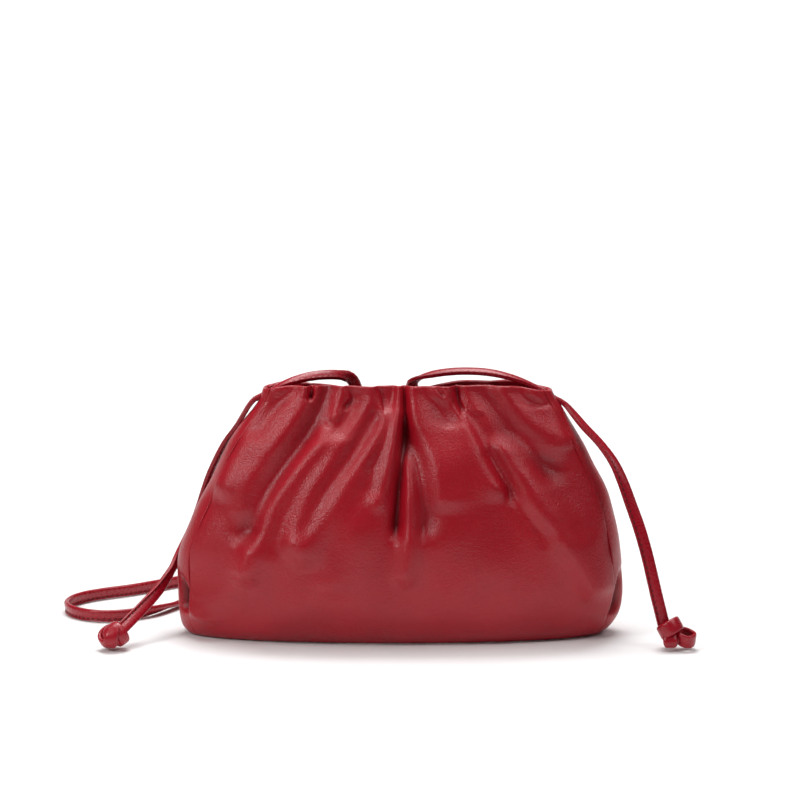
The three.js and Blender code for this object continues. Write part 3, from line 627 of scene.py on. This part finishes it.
# %% Base
BASE_THICK, BASE_INSET = 1.6, 2.4
bm = bmesh.new()
ring = bmesh.ops.create_circle(bm, cap_ends=True, radius=1, segments=96)["verts"]
turns = np.linspace(0, 2 * math.pi, 96, endpoint=False)
outline = plain_point(turns, np.zeros(96)) - BASE_INSET * plain_normal(turns, np.zeros(96)) * [1, 1, 0]
for vert, place in zip(ring, outline - FORM_MIDDLE):
    vert.co = (place[0], place[1], 0)
top = bmesh.ops.extrude_face_region(bm, geom=bm.faces[:])["geom"]
lifted = [g for g in top if isinstance(g, bmesh.types.BMVert)]
bmesh.ops.translate(bm, vec=(0, 0, BASE_THICK), verts=lifted)
rims = [e for e in bm.edges if abs(e.verts[0].co.z - e.verts[1].co.z) < 1e-6]
bmesh.ops.bevel(bm, geom=rims, offset=0.4, offset_type="OFFSET", affect="EDGES", segments=3, profile=0.5, material=-1)
base = finished("base_wall", bm)
print("base", len(base.data.polygons), "faces")

# %% [markdown]
# ## The knots
#
# Each end of the lace is tied in an overhand knot. Drawn tight in flat leather, such a knot is a
# broad band wrapped round a bundle, with the lace coming in on one side and a doubled tail
# going out on the other. So each knot here is made of short bands, bent round a common
# middle, and a rounded core closes the gaps between them.

# %% Knot bands
FREE_END = [(0.97, 1), (0.9, 0.95), (0.74, 0.8)]


def flat_section(width, thick):
    """A flat band's outline with round edges."""
    turn = np.radians(np.linspace(-90, 90, 5))
    fold, half = (width - thick) / 2, thick / 2
    right = [(fold + half * math.cos(a), half * math.sin(a)) for a in turn]
    left = [(-x, -y) for x, y in right]
    crown = [(fold * 0.4, half * 1.08), (-fold * 0.4, half * 1.08)]
    return right + crown + left + [(-x, -y) for x, y in crown]


def knot_piece(name, middle, bands, core):
    """Bands about a middle, each a list of places and width directions, and a rounded core."""
    bm = bmesh.new()
    for route, section in bands:
        middles, ahead, widths, _ = lace_frames(route, 0.9)
        scales = np.ones((len(middles), 2))
        scales[-len(FREE_END):] = FREE_END
        swept_band(bm, section, middles, ahead, widths, scales)
    ball = bmesh.ops.create_uvsphere(bm, u_segments=24, v_segments=14, radius=1)["verts"]
    bmesh.ops.scale(bm, vec=core, verts=ball)
    bmesh.ops.translate(bm, vec=middle, verts=[v for v in bm.verts])
    for vert in bm.verts:
        vert.co.z = max(vert.co.z, 0.1)
    piece = finished(name, bm)
    print(name, len(piece.data.polygons), "faces")
    return piece


def lead_in(route, middle, steps):
    """The lace's own band, carried on from the end of its route into the knot."""
    middles, ahead, widths, _ = lace_frames(route)
    start, width = middles[-1] - middle, widths[-1]
    places = [start + share * ahead[-1] * np.linalg.norm(start) * 0.8 for share in np.linspace(0, 1, steps)]
    return [(tuple(place), tuple(width)) for place in places]


def wrapped_ring(centre, radius, flat, axis, start, turns=1.05, steps=18):
    """A band's route round an axis through a centre, from a start direction."""
    axis, start, centre = Vector(axis).normalized(), Vector(start), Vector(centre)
    start = (start - start.dot(axis) * axis).normalized()
    other = axis.cross(start)
    route = []
    for k in range(steps + 1):
        a = 2 * math.pi * turns * k / steps
        place = centre + radius * (math.cos(a) * start + flat * math.sin(a) * other)
        route.append((tuple(place + 0.35 * a / math.pi * axis), tuple(axis)))
    return route


# %% Two knots
RIGHT_KNOT_MIDDLE = (134.8, -35.1, 8.3)
LEFT_KNOT_MIDDLE = (-141.4, -36.5, 7.3)

right_knot = knot_piece("right_lace_knot", RIGHT_KNOT_MIDDLE, [
    # the broad band round the lace
    (wrapped_ring((-1.5, 0, 1.9), 6.1, 0.84, (-0.46, 0.27, 0.85), (0, 1, 0)), flat_section(7.4, 2.1)),
    # the lace on its way in
    (lead_in(RIGHT_END, RIGHT_KNOT_MIDDLE, 4), lace_section()),
    # the left tail, flat and facing the front
    ([((-2.4, -1.4, 1.6), (1, 0, 0.1)), ((-2.2, -4.2, -1), (1, 0, 0.1)), ((-1.9, -5.6, -3.4), (1, 0, 0)),
      ((-1.8, -5.2, -6), (1, 0.05, 0))], flat_section(7.4, 2.4)),
    # the right tail, rolled back into a loop that is open to the top
    ([((1.2, -1.6, -0.4), (0, -0.25, 1)), ((3, -4.4, -2.4), (0, -0.3, 1)), ((6, -5.6, -3.4), (0, -0.32, 1)),
      ((8.8, -4.4, -3.4), (0.05, -0.32, 1)), ((10.2, -1.2, -2.8), (0.1, -0.3, 1)),
      ((8.8, 2, -2), (0, -0.3, 1)), ((5.4, 2.8, -1), (-0.05, -0.3, 1)), ((2, 1.6, -0.4), (0, -0.2, 1))],
     flat_section(7, 1.5)),
], (5, 4.2, 5.2))
left_knot = knot_piece("left_lace_knot", LEFT_KNOT_MIDDLE, [
    # the lace on its way in
    (lead_in(LEFT_END, LEFT_KNOT_MIDDLE, 4), lace_section()),
    # the band round it
    (wrapped_ring((1.5, 0.5, 0.4), 5.2, 1, (0.7, 0.5, 0.42), (0, 1, 0)), flat_section(6, 2.1)),
    # the band over the left of the ball
    (wrapped_ring((-1.4, -0.3, 0), 5.4, 0.95, (0.3, 0.55, -0.78), (1, 0.4, 0), 0.9), flat_section(6, 2.1)),
    # the tail that is pressed flat at the front
    ([((0.3, -3.4, 4.6), (0.95, 0, 0.2)), ((-0.6, -5.8, 1.2), (0.95, 0, 0.2)), ((-1.2, -6, -2.4), (0.95, -0.1, 0.1)),
      ((-1, -4.2, -4.8), (0.95, -0.2, 0))], flat_section(6.6, 2)),
], (5.9, 5.4, 5.6))

# %% [markdown]
# ## The leather
#
# Soft calf leather has a fine pebbled grain and a satin gloss. The grain comes from small cells
# in object space, so it keeps one size on every piece. On the walls the 'gather' attribute paints
# shade into the valleys of the gathers and into the side hollows, darker the deeper they lie.

# %% Leather material
def leather(name, base, deep, rough, grain, folds):
    """A red leather with grain, uneven colour and, on the walls, painted shade in the valleys and hollows."""
    material = bpy.data.materials.new(name)
    material.use_nodes = True
    tree = material.node_tree
    shader = tree.nodes["Principled BSDF"]

    def add(kind, **values):
        node = tree.nodes.new(kind)
        for key, value in values.items():
            if key in node.inputs:
                node.inputs[key].default_value = value
            else:
                setattr(node, key, value)
        return node

    link = tree.links.new
    place = add("ShaderNodeTexCoord").outputs["Object"]
    cells = add("ShaderNodeTexVoronoi", Scale=grain, Randomness=1.0)
    soft = add("ShaderNodeTexNoise", Scale=grain * 0.45, Detail=3.0, Roughness=0.55)
    cloud = add("ShaderNodeTexNoise", Scale=28.0, Detail=3.0, Roughness=0.5)
    for texture in (cells, soft, cloud):
        link(place, texture.inputs["Vector"])

    pebbles = add("ShaderNodeMath", operation="MULTIPLY_ADD")
    pebbles.inputs[1].default_value = -0.7
    link(cells.outputs["Distance"], pebbles.inputs[0])
    link(soft.outputs["Fac"], pebbles.inputs[2])
    bump = add("ShaderNodeBump", Strength=0.6 if folds else 0.3, Distance=0.0003)
    link(pebbles.outputs["Value"], bump.inputs["Height"])
    link(bump.outputs["Normal"], shader.inputs["Normal"])

    tone = add("ShaderNodeMapRange")
    tone.inputs["From Min"].default_value, tone.inputs["From Max"].default_value = 0.35, 0.65
    link(cloud.outputs["Fac"], tone.inputs["Value"])
    shade = add("ShaderNodeMix", data_type="RGBA")
    shade.inputs["A"].default_value = (*[c * 0.92 for c in base], 1)
    shade.inputs["B"].default_value = (*[c * 1.06 for c in base], 1)
    link(tone.outputs["Result"], shade.inputs["Factor"])
    colour = shade.outputs["Result"]
    if folds:
        # Painted shade: where the 'gather' attribute lies below -1 mm, the colour is mixed towards the deep colour,
        # fully at -9 mm.
        lift = add("ShaderNodeAttribute", attribute_name="gather")
        sunk = add("ShaderNodeMapRange")
        sunk.inputs["From Min"].default_value, sunk.inputs["From Max"].default_value = -1.0, -9.0
        link(lift.outputs["Fac"], sunk.inputs["Value"])
        valley_shade = add("ShaderNodeMix", data_type="RGBA")
        valley_shade.inputs["B"].default_value = (*deep, 1)
        link(sunk.outputs["Result"], valley_shade.inputs["Factor"])
        link(colour, valley_shade.inputs["A"])
        colour = valley_shade.outputs["Result"]
    link(colour, shader.inputs["Base Color"])

    gloss = add("ShaderNodeMapRange")
    gloss.inputs["To Min"].default_value, gloss.inputs["To Max"].default_value = rough - 0.06, rough + 0.08
    link(soft.outputs["Fac"], gloss.inputs["Value"])
    link(gloss.outputs["Result"], shader.inputs["Roughness"])
    shader.inputs["Specular IOR Level"].default_value = 0.42
    return material


# The second colour of each leather is the painted shade of the valleys and hollows; only the pouch's walls use it.
pouch_leather = leather("pouch_leather", (0.345, 0.004, 0.013), (0.05, 0.0006, 0.0015), 0.33, 1400, True)
lace_leather = leather("lace_leather", (0.31, 0.004, 0.014), (0.10, 0.0006, 0.0022), 0.27, 1700, False)
# The thread is dark red, and its colour is darker still as painted shade of the stitch holes it lies in.
thread = leather("lace_thread", (0.10, 0.001, 0.003), (0.1, 0.001, 0.002), 0.5, 2600, False)

walls = [front, back, right_gusset, left_gusset, base]
laces = [right_end, left_end, shoulder, right_knot, left_knot]
stitches = [right_stitches, left_stitches, shoulder_stitches]
for pieces, material, slot in (
    (walls, pouch_leather, "pouch_leather"),
    (laces, lace_leather, "lace_leather"),
    (stitches, thread, "lace_leather"),
):
    for piece in pieces:
        piece.data.materials.append(material)
print("materials:", ", ".join(sorted(m.name for m in bpy.data.materials)))

# %% [markdown]
# ## Which piece stands for which CAD node
#
# Every new piece takes the place of the plain solid of the same part, which is hidden. Of the
# three stretches of lace, the long one goes back into the pouch, and the other two end in
# their knots.

# %% Replace the CAD parts
for piece, node in (
    (front, "front_panel"), (back, "back_panel"), (right_gusset, "right_gusset"),
    (left_gusset, "left_gusset"), (base, "base_panel"), (right_end, "strap_right_end"),
    (left_end, "strap_left_end"), (shoulder, "shoulder_strap"),
    (right_knot, "right_knot"), (left_knot, "left_knot"),
):
    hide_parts(node)

# %% [markdown]
# ## Floor and light
#
# The pouch stands on a pale surface in soft studio light. A lamp to the left lights the
# flanks of the gathers that face up and left, a weaker one stands to the right and a large one
# hangs above. The pale surface shows dully in the lower belly. It turns dark in front of the picture, so that the
# middle of the pouch has little to reflect and keeps its full red.

# %% Stage
SWEEP_START, SWEEP_RADIUS = 1.6, 1.0
DARK_FROM, DARK_TO = -0.31, -0.5
bm = bmesh.new()
bmesh.ops.create_grid(bm, x_segments=1, y_segments=60, size=3)
for vert in bm.verts:
    beyond = max(vert.co.y - SWEEP_START, 0)
    turn = min(beyond / SWEEP_RADIUS, math.pi / 2)
    if beyond:
        rise = beyond - SWEEP_RADIUS * turn
        vert.co.y = SWEEP_START + SWEEP_RADIUS * math.sin(turn)
        vert.co.z = SWEEP_RADIUS * (1 - math.cos(turn)) + rise
floor = bpy.data.objects.new("pale_floor", bpy.data.meshes.new("pale_floor"))
bm.to_mesh(floor.data)
bm.free()
floor.data.polygons.foreach_set("use_smooth", [True] * len(floor.data.polygons))
floor.data.transform(Matrix.Translation((0, 0, -0.0002)))
bpy.context.scene.collection.objects.link(floor)
plain = bpy.data.materials.new("pale_floor")
plain.use_nodes = True
paint = plain.node_tree.nodes["Principled BSDF"]
paint.inputs["Roughness"].default_value = 0.8
nodes, wire = plain.node_tree.nodes, plain.node_tree.links.new
spot, split = nodes.new("ShaderNodeTexCoord"), nodes.new("ShaderNodeSeparateXYZ")
near, tint = nodes.new("ShaderNodeMapRange"), nodes.new("ShaderNodeMix")
near.inputs["From Min"].default_value, near.inputs["From Max"].default_value = DARK_FROM, DARK_TO
tint.data_type = "RGBA"
tint.inputs["A"].default_value = (0.86, 0.86, 0.86, 1)
tint.inputs["B"].default_value = (0.06, 0.06, 0.06, 1)
wire(spot.outputs["Object"], split.inputs["Vector"])
wire(split.outputs["Y"], near.inputs["Value"])
wire(near.outputs["Result"], tint.inputs["Factor"])
wire(tint.outputs["Result"], paint.inputs["Base Color"])
floor.data.materials.append(plain)


def lamp(name, place, aim, size, power):
    """A square soft lamp at a place, turned towards a point."""
    data = bpy.data.lights.new(name, "AREA")
    data.size, data.energy = size, power
    light = bpy.data.objects.new(name, data)
    light.location = place
    light.rotation_euler = (Vector(place) - Vector(aim)).to_track_quat("Z", "Y").to_euler()
    bpy.context.scene.collection.objects.link(light)


lamp("left_lamp", (-1.1, -0.85, 1.05), (0, 0, 0.08), 0.55, 11.5)
lamp("right_lamp", (0.9, -0.6, 1.25), (0, 0, 0.06), 0.5, 4.8)
lamp("top_lamp", (-0.1, 0.25, 1.4), (0, 0.1, 0.06), 1.2, 14)
lamp("backdrop_lamp", (0, 0.9, 2.6), (0, 2.6, 1.0), 1.6, 75)
world = bpy.data.worlds.new("studio")
world.use_nodes = True
world.node_tree.nodes["Background"].inputs["Color"].default_value = (1, 1, 1, 1)
world.node_tree.nodes["Background"].inputs["Strength"].default_value = 0.1
bpy.context.scene.world = world
bpy.context.scene.view_settings.view_transform = "Standard"
